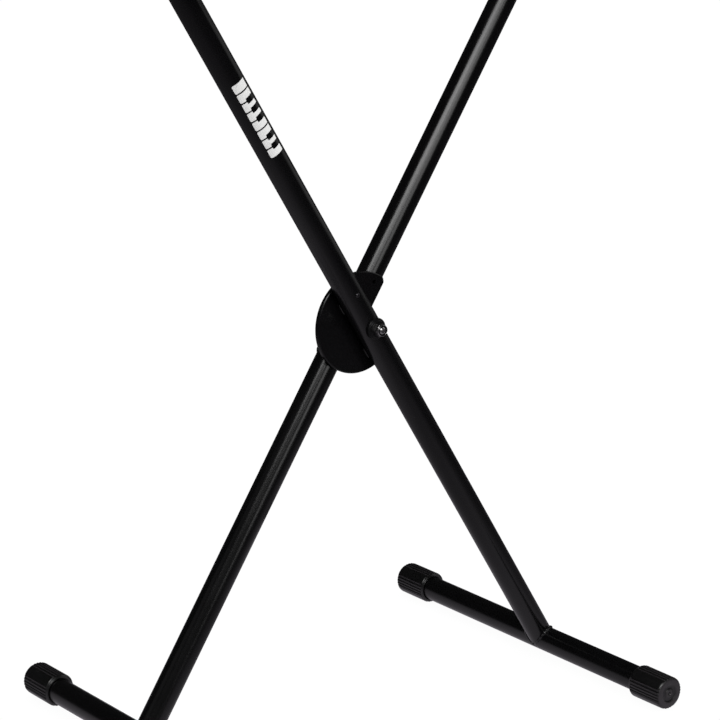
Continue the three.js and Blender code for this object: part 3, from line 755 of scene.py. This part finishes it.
# The profile runs from the middle of the end face, over the ribs, round the mouth and down the bore. It is
# turned about the foot tube, with the ribs' grooves cut in, and all but the bore is moved off the axis.
def makeFootCap(name, node, axisX, end, body):
    c = footCap
    r, yEnd, yMouth = c["radius"], c["end"], c["mouth"]
    collar = r - c["collarStep"]
    endFace = [(0.05, yEnd - 1.6, 0), (1.4, yEnd - 1.5, 0.4), (2.3, yEnd - 0.2, 0.5), (4.3, yEnd - 0.2, 0.6),
               (6.2, yEnd - 1.5, 0.8), (8.8, yEnd - 1.4, 0.8), (11.0, yEnd - 0.1, 0.8),
               (r - 0.1, yEnd, c["endRound"])]
    ribs = [(r, (yEnd + c["ribStart"]) / 2, 0), (r, c["ribStart"] + 0.3, 0.4)]
    leadY = c["ribStart"] - c["ribLead"]
    mouth = [(collar, leadY, 0.4), (collar - 0.3, yMouth + 1.2, 0.5), (16.6, yMouth + 0.5, 0.4),
             (15.9, yMouth + 0.6, 0.3), (15.7, yMouth, 0.5), (14.6, yMouth, 0.4)]
    bore = [(c["bore"], yMouth + 0.8, 0.3), (c["bore"], c["boreEnd"], 0.2), (0.05, c["boreEnd"], 0)]
    profile = roundedProfile(endFace + ribs + mouth + bore)
    ribBand = (profile[:, 0] > r - c["shoulder"]) & (profile[:, 1] > leadY)

    def radiusAt(radius, y, u):
        return radius - ribBand[:, None] * ribShare(y) * c["ribDepth"] * (1 - ribHeight(u))

    rings = turnedRings(profile, (0, 0, 0), c["columns"], radiusAt)
    outside = np.clip((profile[:, 0] - c["bore"]) / (r - 1 - c["bore"]), 0, 1)
    share = np.where(profile[:, 1] > c["boreEnd"] + 0.1, 1, outside)[:, None]
    rings[..., 0] += c["eccentric"] * mm * share
    if end < 0:
        rings = rings * np.array((-1, -1, 1))
    rings = rings + np.array((axisX, 0, footAxis.z))
    cap = makePiece(name, *skin(rings), "capRubber", body, [node], 40)
    # The crests are marked for the paler tone of scuff and painted highlight, which leaves the grooves darker
    # as painted shade.
    u = np.linspace(0, 2 * np.pi, c["columns"], False)
    crestScuffAndSheen = (ribShare(profile[:, 1]) * ribBand)[:, None] * crestScuffAndSheenAt(u)
    crestScuffAndSheenValues = np.zeros(len(cap.data.vertices), np.float32)
    crestScuffAndSheenValues[:crestScuffAndSheen.size] = crestScuffAndSheen.ravel()
    cap.data.attributes.new("crestScuffAndSheen", "FLOAT", "POINT").data.foreach_set("value", crestScuffAndSheenValues)


for frameName, side in frameSides.items():
    for endName, end in (("Near", -1), ("Far", 1)):
        low = endName.lower()
        node, body = "%s_foot_cap_%s" % (frameName, low), "%s_%s_cap" % (frameName, low)
        makeFootCap(frameName + endName + "Cap", node, -side * footAxis.x, end, body)
print("foot caps made")


# Top bar sleeves and plugs.
grip = {"radius": 17.6, "flat": 16.6, "bore": 14.1, "from": 92, "to": 158, "edge": 1.2, "blend": 6,
        "grooves": 9, "grooveDepth": 0.7, "plainEnd": 5, "rows": 220, "columns": 160}


# Section radius: the circle, or the flat land above it, blended by a soft minimum.
def gripSection(u):
    flat = grip["flat"] / np.maximum(np.cos(u), 0.2)
    circular = grip["radius"] + 0 * u
    return -np.log(np.exp(-grip["blend"] * circular) + np.exp(-grip["blend"] * flat)) / grip["blend"]


# The section carried along Y: less a groove wherever 3 cos(y) - 2 is above 0, and with quarter-circle ends.
def makeGrip(name, node, centre, end, body):
    low, high, edge = grip["from"], grip["to"], grip["edge"]
    y = np.linspace(low + edge, high - edge, grip["rows"])
    middleShare = np.clip(np.minimum(y - low - grip["plainEnd"], high - grip["plainEnd"] - y) / 2, 0, 1)
    groove = np.clip(np.cos(2 * np.pi * grip["grooves"] * (y - low) / (high - low)) * 3 - 2, 0, 1)
    grooved = np.stack([-grip["grooveDepth"] * groove * middleShare, y], 1)
    ease = np.linspace(0, np.pi / 2, 7)[:-1]
    startEdge = np.stack([-edge * (1 - np.sin(ease)), low + edge * (1 - np.cos(ease))], 1)
    endEdge = np.stack([-edge * (1 - np.sin(ease[::-1])), high - edge * (1 - np.cos(ease[::-1]))], 1)
    outer = np.vstack([startEdge, grooved, endEdge])
    u = np.linspace(0, 2 * np.pi, grip["columns"], endpoint=False)[None, :]
    radius = gripSection(u) + outer[:, 0][:, None]
    yOuter = outer[:, 1][:, None] + 0 * u
    inner = np.array([high, low], float)[:, None] + 0 * u
    radius = np.vstack([radius, np.full((2, grip["columns"]), grip["bore"])])
    yAll = end * np.vstack([yOuter, inner])
    x, z = radius * np.sin(u), radius * np.cos(u)
    rings = np.stack([x * mm + centre[0], yAll * mm, z * mm + centre[2]], -1)
    makePiece(name, *skin(rings, True), "gripRubber", body, [node])


plug = {"depth": 12, "head": 3.3, "rim": 13.95, "inside": 12.2, "dish": 9.0, "dishDepth": 0.5}


# A stub inside the bar with a dished head outside it, turned about the bar's axis.
def makePlug(name, node, centre, end, body):
    p = plug
    start = span("front_top_bar", 1)[1] / mm
    face, tail = start + p["head"], start - p["depth"]
    floor = face - p["dishDepth"]
    corners = [(0.05, tail, 0), (p["inside"] - 0.2, tail, 0.6), (p["inside"], start + 0.1, 0),
               (p["rim"], start + 0.1, 0.3), (p["rim"], face - 0.1, 1.4), (p["dish"] + 0.2, face, 0.5),
               (p["dish"] - 0.2, floor, 0.3), (0.05, floor, 0)]
    corners = [(r, end * y, e) for r, y, e in corners]
    turnedPiece(name, corners, centre, "capRubber", body, [node], 96)


for frameName, side in frameSides.items():
    centre = middle(frameName + "_top_bar")
    for endName, end in (("Near", -1), ("Far", 1)):
        low, body = endName.lower(), frameName + "_frame"
        makeGrip(frameName + endName + "Grip", "%s_grip_%s" % (frameName, low), centre, end, body)
        makePlug(frameName + endName + "Plug", "%s_bar_plug_%s" % (frameName, low), centre, end, body)
print("sleeves and plugs made")


# Pivot hardware.
bush = {"flange": 11.6, "boss": 9.3, "bore": 4.4, "frontY": -35.2, "bossY": -33.3, "flangeY": -32.7,
        "edgeY": -32.4, "backY": -28.0, "legGap": 0.1}


# A turned step with a flange. Its back follows the leg: y = leg axis less sqrt(R^2 - x^2), where x is
# measured across the leg.
def makeSaddleBush():
    b = bush
    legAxisY, reach = -legY / mm, tubeRadius / mm + b["legGap"]
    corners = [(b["bore"], b["frontY"], 0.3), (b["boss"], b["frontY"], 0.7), (b["boss"], b["bossY"], 0.5),
               (b["flange"], b["flangeY"], 0.6), (b["flange"], b["backY"], 0.2), (b["bore"], b["backY"], 0.2)]
    profile = roundedProfile(corners, 6, True)
    u = np.linspace(0, 2 * np.pi, 128, endpoint=False)[None, :]
    r = profile[:, 0][:, None] + 0 * u
    x, z = r * np.sin(u), r * np.cos(u)
    across = x * math.cos(legTilt) + z * math.sin(legTilt)
    saddle = legAxisY - np.sqrt(reach ** 2 - across ** 2)
    y = np.minimum(profile[:, 1][:, None] + 0 * u, np.maximum(saddle, b["edgeY"]))
    rings = np.stack([x, y, z], -1) * mm + np.array(pivot)
    makePiece("saddleBush", *skin(rings, True), "blackPlastic", "front_frame", ["saddle_bush"])


# Distance to a hexagon's side across flats: half of it over the cosine of the angle from the side's middle.
def hexSide(flats, u):
    return flats / 2 / np.cos((u + np.pi / 6) % (np.pi / 3) - np.pi / 6)


lockNut = {"flats": 13.0, "hexHeight": 5.5, "collar": 6.2, "lip": 5.5, "bore": 4.3, "nylonBore": 4.02,
           "nylonDepth": 0.5, "nylonHeight": 0.7, "coneStart": 1.03, "coneRise": 1.6, "coneLeast": 0.97}


# A turned collar on a hexagon. A cone takes the hexagon's corners off at both ends: its radius rises with
# the distance from the nearer end.
def makeLockNut():
    n = lockNut
    front, back = (v / mm for v in span("pivot_lock_nut", 1))
    hexFront = back - n["hexHeight"]
    y = np.linspace(hexFront, back, 40)
    hexWall = np.stack([0 * y + n["flats"] / 2, y], 1)
    lip, rim = n["lip"], n["collar"]
    collar = roundedProfile([(n["bore"], front + 1.3, 0), (lip, front + 1.2, 0), (lip, front + 0.1, 0.2),
                             (lip + 0.35, front, 0.3), (rim, front + 0.5, 0.7), (rim + 0.05, hexFront, 0)], 6)
    inner = np.array([(n["bore"], back)])
    profile = np.vstack([collar, hexWall, inner])

    def radiusAt(r, yy, u):
        half = n["flats"] / 2
        depth = np.minimum(yy - hexFront, back - yy) + 0.2
        cone = half * n["coneStart"] + depth * n["coneRise"] + 0.15
        body = np.minimum(hexSide(n["flats"], u), np.maximum(cone, half * n["coneLeast"]))
        return np.where(r > half - 0.01, body, r)

    rings = turnedRings(profile, pivot, 240, radiusAt)
    makePiece("pivotLockNut", *skin(rings, True), "zincPlate", "front_frame", ["pivot_lock_nut"], 25)
    low, inside, outside = front + n["nylonDepth"], n["nylonBore"], lip - 0.05
    high = low + n["nylonHeight"]
    corners = [(inside, low, 0.3), (outside, low, 0.2), (outside, high, 0), (inside, high, 0)]
    turnedPiece("nylonRing", corners, pivot, "blackPlastic", "front_frame", [], 96, True)


pivotBolt = {"radius": 3.95, "threadDepth": 0.5, "threadPitch": 1.25, "threadEnd": -35.0, "threadRows": 120,
             "headHeight": 2.8, "headRadius": 7.0, "socket": 5.0, "socketDepth": 1.7}


# A turned tip, shank and head. On the thread the radius falls by a triangle wave of y / pitch + u / 2 pi,
# and in the socket it is a hexagon's.
def makePivotBolt():
    b = pivotBolt
    tipY, endY = (v / mm for v in span("pivot_bolt", 1))
    tip = roundedProfile([(0.05, tipY + 0.15, 0), (1.6, tipY + 0.1, 0.4), (2.5, tipY, 0.4),
                          (b["radius"], tipY + 1.1, 0.2)], 5)
    threadY = np.linspace(tipY + 1.2, b["threadEnd"], b["threadRows"])
    thread = np.stack([0 * threadY + b["radius"], threadY], 1)
    headY = endY - b["headHeight"]
    head = roundedProfile([(b["radius"], b["threadEnd"] + 0.5, 0), (b["radius"], headY, 0.2),
                           (b["headRadius"], headY, 0.4), (b["headRadius"] - 0.5, endY - 0.9, 0.9),
                           (b["headRadius"] - 2.6, endY, 0.8), (b["socket"] / 2 + 0.3, endY, 0.2)], 6)
    socketY = np.linspace(endY - 0.1, endY - b["socketDepth"], 6)
    socket = np.stack([0 * socketY + b["socket"] / 2, socketY], 1)
    floor = np.array([(0.05, endY - b["socketDepth"] - 0.2)])
    profile = np.vstack([tip, thread, head, socket, floor])

    def radiusAt(r, y, u):
        phase = (y / b["threadPitch"] + u / (2 * np.pi)) % 1
        cut = b["threadDepth"] * np.abs(2 * phase - 1)
        fade = np.clip((y - tipY - 1.0) / 0.6, 0, 1) * np.clip((b["threadEnd"] - y) / 0.5, 0, 1)
        threaded = r - cut * fade * (r > b["radius"] - 0.05)
        inSocket = (y < endY - 0.05) & (y > endY - b["socketDepth"] - 0.1) & (r < b["socket"] / 2 + 0.05)
        return np.where(inSocket & (y > 0), hexSide(b["socket"], u), threaded)

    rings = turnedRings(profile, pivot, 144, radiusAt)
    makePiece("pivotBolt", *skin(rings), "zincPlate", "front_frame", ["pivot_bolt"], 30)


washers = {"pivotSpacer": {"node": "pivot_spacer", "bore": 4.4, "radius": 11, "edge": 0.4},
           "springRetainer": {"node": "spring_retainer", "bore": 4.4, "radius": 9.6, "edge": 0.35}}


# A turned rectangle with its corners eased.
def makeWasher(name, w):
    low, high = (v / mm for v in span(w["node"], 1))
    inner, outer, edge = w["bore"], w["radius"], w["edge"]
    corners = [(inner, low, edge), (outer, low, edge), (outer, high, edge), (inner, high, edge)]
    turnedPiece(name, corners, pivot, "zincPlate", "front_frame", [w["node"]], 96, True)


rivet = {"shank": 1.9, "head": 2.85, "headHeight": 1.7, "tailHeight": 1.2}


# A turned shank between a domed head and a pressed tail.
def makeRivet():
    v = rivet
    centre = pivot + frontUp * (disc["rivetReach"] * mm)
    low, high = (edge / mm for edge in span("disc_rivet", 1))
    headY, tailY = low + v["headHeight"], high - v["tailHeight"]
    corners = [(0.05, low, 0), (1.7, low + 0.1, 0.8), (v["head"], headY, 0.7), (v["shank"], headY + 0.05, 0),
               (v["shank"], tailY, 0), (v["head"], tailY, 0.3), (2.5, high - 0.1, 0.7), (0.05, high, 0)]
    turnedPiece("discRivet", corners, centre, "blackOxide", "front_frame", ["disc_rivet"], 64)


makeSaddleBush()
makeLockNut()
makePivotBolt()
for name, washer in washers.items():
    makeWasher(name, washer)
makeRivet()
print("pivot hardware made")


# Pull knob, lock pin and spring.
knob = {"outer": 13.0, "neck": 11.0, "inner": 10.2, "bore": 4.4, "floor": 2.5, "neckEnd": 5, "flareEnd": 8,
        "flutes": 20, "fluteDepth": 0.7}


# A turned cup with a neck. On its wide part the radius falls wherever -1.4 cos(flutes u) - 0.3 is above 0.
def makeKnob():
    k = knob
    front, back = (v / mm for v in span("pull_knob", 1))
    floor = front + k["floor"]
    corners = [(k["bore"], front, 0.3), (k["neck"], front, 0.8), (k["neck"], front + k["neckEnd"], 2.0),
               (k["outer"], front + k["flareEnd"], 1.6), (k["outer"], back, 1.2), (k["inner"], back, 0.5),
               (k["inner"], floor, 0.6), (k["bore"], floor, 0.3)]
    profile = roundedProfile(corners, 9, True)

    def radiusAt(r, y, u):
        outer = np.clip((r - k["neck"] - 0.6) / 1.2, 0, 1)
        scallop = np.clip(-np.cos(k["flutes"] * u) * 1.4 - 0.3, 0, 1)
        return r - outer * k["fluteDepth"] * scallop

    rings = turnedRings(profile, pivot, 320, radiusAt)
    makePiece("pullKnob", *skin(rings, True), "blackPlastic", "lock", ["pull_knob"])


lockPin = {"body": 2.9, "tip": 2.1, "tipLength": 0.8, "neck": 2.0, "head": 3.2, "headHeight": 1}


# A turned pin: a tapered tip, a body up to the carrier, a neck through it and a riveted head.
def makeLockPin():
    p = lockPin
    low, high = (v / mm for v in span("lock_pin", 1))
    centre = pivot - rearUp * (carrier["reach"] * mm)
    shoulder, headY = span("pin_carrier", 1)[0] / mm - 0.3, high - p["headHeight"]
    corners = [(0.05, low, 0), (p["tip"], low, 0.3), (p["body"], low + p["tipLength"], 0.3),
               (p["body"], shoulder, 0.2), (p["neck"], shoulder, 0), (p["neck"], headY, 0),
               (p["head"], headY, 0.3), (p["head"] - 0.4, high, 0.6), (0.05, high, 0)]
    turnedPiece("lockPin", corners, centre, "zincPlate", "lock", ["lock_pin"], 72)


spring = {"mean": 6.8, "wire": 0.5, "turns": 3.5, "closedEnd": 0.12, "steps": 220, "around": 14}


# Wire along the helix (R cos a, y, R sin a), its section in the plane of the outward direction and Y. Its
# pitch eases to nearly nothing at both ends.
def makeSpring():
    s = spring
    low, high = (v / mm for v in span("lock_spring", 1))
    t = np.linspace(0, 1, s["steps"])[:, None]
    v = np.linspace(0, 2 * np.pi, s["around"], endpoint=False)[None, :]
    angle = t * s["turns"] * 2 * np.pi
    spread = np.clip(np.minimum(t, 1 - t) / s["closedEnd"], 0, 1)
    pitchShare = np.cumsum(np.vstack([[[0]], spread[1:] + 0.05]), 0)
    y = low + s["wire"] + (high - low - 2 * s["wire"]) * pitchShare / pitchShare[-1]
    r = s["mean"] + s["wire"] * np.cos(v)
    points = np.stack([r * np.cos(angle), y + s["wire"] * np.sin(v), r * np.sin(angle)], -1)
    obj = makePiece("lockSpring", *skin(fromPivot(points)), "springSteel", "lock", ["lock_spring"], 60)
    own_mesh(obj)


makeKnob()
makeLockPin()
makeSpring()
print("lock made")


# Printed row of keys on the front leg.
keyPrint = {"from": 0.2395, "pitch": 0.0117, "gap": 0.0017, "turnStart": -36, "turnEnd": 32,
            "notch": 0.6, "notchWidth": 0.0026, "cornerDepth": 0.0009, "cornerShare": 0.07,
            "ink": 0.00012, "under": 0.0002, "columns": 40,
            "darkKeyAfter": (True, True, False, True, True, True, False, False)}


# One key is a thin shell on the tube: a share w from 0 to 1 runs round the leg, and the key's two sides are
# heights along it, narrowed where a dark key stands and eased at the corners by a square of w.
def keyShell(index, notchBefore, notchAfter):
    k = keyPrint
    w = np.linspace(0, 1, k["columns"])
    inNotch = w < k["notch"]
    cutBefore = np.where(inNotch & notchBefore, k["notchWidth"], 0)
    cutAfter = np.where(inNotch & notchAfter, k["notchWidth"], 0)
    start = k["from"] + index * k["pitch"] + k["gap"] / 2 + cutBefore
    end = k["from"] + (index + 1) * k["pitch"] - k["gap"] / 2 - cutAfter
    corner = k["cornerDepth"] * np.clip((w - 1 + k["cornerShare"]) / k["cornerShare"], 0, 1) ** 2
    start, end = start + corner, end - corner
    turn = np.radians(k["turnEnd"] + (k["turnStart"] - k["turnEnd"]) * w)
    loops = []
    for radius in (tubeRadius + k["ink"], tubeRadius - k["under"]):
        for s in (start, end):
            loops.append(np.stack([radius * np.sin(turn), -legY - radius * np.cos(turn), s], -1))
    topStart, topEnd, lowStart, lowEnd = loops
    rings = np.stack([topStart, topEnd, lowEnd, lowStart], 1)
    return skin(legToStand(rings, -1))


def makeKeyPrint():
    after = keyPrint["darkKeyAfter"]
    before = (False, *after[:-1])
    parts = [keyShell(i, before[i], after[i]) for i in range(len(after))]
    makePiece("keyPrint", *joinParts(parts), "whiteInk", "front_frame", ["leg_print"], 60)


makeKeyPrint()
print("print made")

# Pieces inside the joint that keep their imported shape.
for node in ("front_crush_sleeve", "rear_crush_sleeve", "index_plate", "pin_guide"):
    mesh = frame["nodes"][node].data
    mesh.materials.clear()
    mesh.materials.append(materials["zincPlate"])


# Floor, light and surroundings.
studio = {"floorSize": 34, "openTone": 1.02, "contactReach": 0.05, "contactTone": 0.96, "farGlow": 0.04,
          "midGlow": 0.16, "midReach": 0.9, "footGlow": 0.22, "footReach": 0.15, "footLengthwise": 0.4,
          "glowTint": (1, 0.94, 1.03, 1), "surroundInDiffuse": 0.85, "surroundInGloss": 0.02}


# exp(-(length / reach)^2) of a vector, as nodes.
def gaussianFall(tree, vector, reach, low):
    length = addNode(tree, "VectorMath", (-900, low), operation="LENGTH")
    tree.links.new(vector, length.inputs[0])
    share = scaled(tree, length.outputs["Value"], 1 / reach, 0.0, (-750, low))
    square = combine(tree, "MULTIPLY", share, share, (-600, low))
    return combine(tree, "POWER", math.exp(-1), square, (-450, low))


# The floor is a pale sheet with a faint contact shade. What the stand reflects of it is brightest along the
# two feet and falls off with the distance from the middle.
def makeFloor():
    half = studio["floorSize"] / 2
    mesh = bpy.data.meshes.new("floor")
    corners = [(-half, -half, 0), (half, -half, 0), (half, half, 0), (-half, half, 0)]
    mesh.from_pydata(corners, [], [(0, 1, 2, 3)])
    floor = bpy.data.objects.new("floor", mesh)
    scene.collection.objects.link(floor)
    material = bpy.data.materials.new("paleFloor")
    material.use_nodes = True
    tree = material.node_tree
    link = tree.links.new
    tree.nodes.remove(tree.nodes["Principled BSDF"])
    contact = addNode(tree, "AmbientOcclusion", (-900, 300), samples=16)
    contact.inputs["Distance"].default_value = studio["contactReach"]
    contactTone, openTone = studio["contactTone"], studio["openTone"]
    seen = scaled(tree, contact.outputs["AO"], openTone - contactTone, contactTone, (-600, 300))
    where = addNode(tree, "TexCoord", (-1700, -200))
    parts = addNode(tree, "SeparateXYZ", (-1500, -400))
    link(where.outputs["Object"], parts.inputs[0])
    beside = combine(tree, "ABSOLUTE", parts.outputs["X"], 0.0, (-1350, -400))
    fromFoot = addNode(tree, "CombineXYZ", (-1050, -400))
    aside = scaled(tree, beside, 1.0, -abs(footAxis.x), (-1200, -400))
    link(aside, fromFoot.inputs["X"])
    along = scaled(tree, parts.outputs["Y"], studio["footLengthwise"], 0.0, (-1200, -550))
    link(along, fromFoot.inputs["Y"])
    middleFall = gaussianFall(tree, where.outputs["Object"], studio["midReach"], -200)
    footFall = gaussianFall(tree, fromFoot.outputs[0], studio["footReach"], -400)
    broad = scaled(tree, middleFall, studio["midGlow"], studio["farGlow"], (-300, -200))
    glow = scaled(tree, footFall, studio["footGlow"], broad, (-150, -300))
    path = addNode(tree, "LightPath", (-400, 500))
    strength = addNode(tree, "Mix", (-150, 100), data_type="FLOAT")
    link(path.outputs["Is Camera Ray"], strength.inputs["Factor"])
    link(glow, strength.inputs["A"])
    link(seen, strength.inputs["B"])
    light = addNode(tree, "Emission", (50, 100))
    link(strength.outputs["Result"], light.inputs["Strength"])
    colour = addNode(tree, "Mix", (-150, 350), data_type="RGBA")
    link(path.outputs["Is Camera Ray"], colour.inputs["Factor"])
    colour.inputs["A"].default_value = studio["glowTint"]
    colour.inputs["B"].default_value = (1, 1, 1, 1)
    link(colour.outputs["Result"], light.inputs["Color"])
    link(light.outputs[0], tree.nodes["Material Output"].inputs["Surface"])
    mesh.materials.append(material)


# White where the camera looks past the floor, and dim in what the stand reflects.
def makeSurround():
    world = bpy.data.worlds.new("studio")
    world.use_nodes = True
    scene.world = world
    tree = world.node_tree
    link = tree.links.new
    background = tree.nodes["Background"]
    background.inputs["Color"].default_value = (1, 1, 1, 1)
    path = addNode(tree, "LightPath", (-800, 0))
    dim = scaled(tree, path.outputs["Is Glossy Ray"], studio["surroundInGloss"] - studio["surroundInDiffuse"],
                 studio["surroundInDiffuse"], (-500, -100))
    strength = addNode(tree, "Mix", (-250, 0), data_type="FLOAT")
    link(path.outputs["Is Camera Ray"], strength.inputs["Factor"])
    link(dim, strength.inputs["A"])
    strength.inputs["B"].default_value = 1
    link(strength.outputs["Result"], background.inputs["Strength"])


# Soft boxes round the pivot: bearing and height in degrees, distance and size in metres, and brightness
# as seen from the stand. The three keys form one slanting bank in front of the stand.
softBoxes = {
    "keyHigh": {"bearing": 220, "height": 42, "distance": 3.2, "size": (1.5, 0.95), "brightness": 6.1},
    "keyMiddle": {"bearing": 247, "height": 34, "distance": 3.2, "size": (1.3, 1.0), "brightness": 4.0},
    "keyLow": {"bearing": 265, "height": 16, "distance": 3.2, "size": (1.1, 1.4), "brightness": 2.2},
    "leftFill": {"bearing": 168, "height": 14, "distance": 3.4, "size": (1.8, 2.0), "brightness": 0.12},
    "rightFill": {"bearing": 350, "height": 32, "distance": 3.4, "size": (2.4, 1.7), "brightness": 0.6},
    "rightLow": {"bearing": 354, "height": 9, "distance": 3.4, "size": (2.4, 1.0), "brightness": 0.3},
}


def makeSoftBoxes():
    for name, box in softBoxes.items():
        bearing, height = math.radians(box["bearing"]), math.radians(box["height"])
        level = Vector((math.cos(bearing), math.sin(bearing), 0))
        toward = level * math.cos(height) + Vector((0, 0, math.sin(height)))
        data = bpy.data.lights.new(name, "AREA")
        data.shape = "RECTANGLE"
        data.size, data.size_y = box["size"]
        data.energy = box["brightness"] * math.pi * data.size * data.size_y
        light = bpy.data.objects.new(name, data)
        scene.collection.objects.link(light)
        light.visible_camera = False
        light.location = pivot + toward * box["distance"]
        light.rotation_euler = toward.to_track_quat("Z", "Y").to_euler()


makeFloor()
makeSurround()
makeSoftBoxes()
scene.view_settings.view_transform = "Standard"
print("studio made")
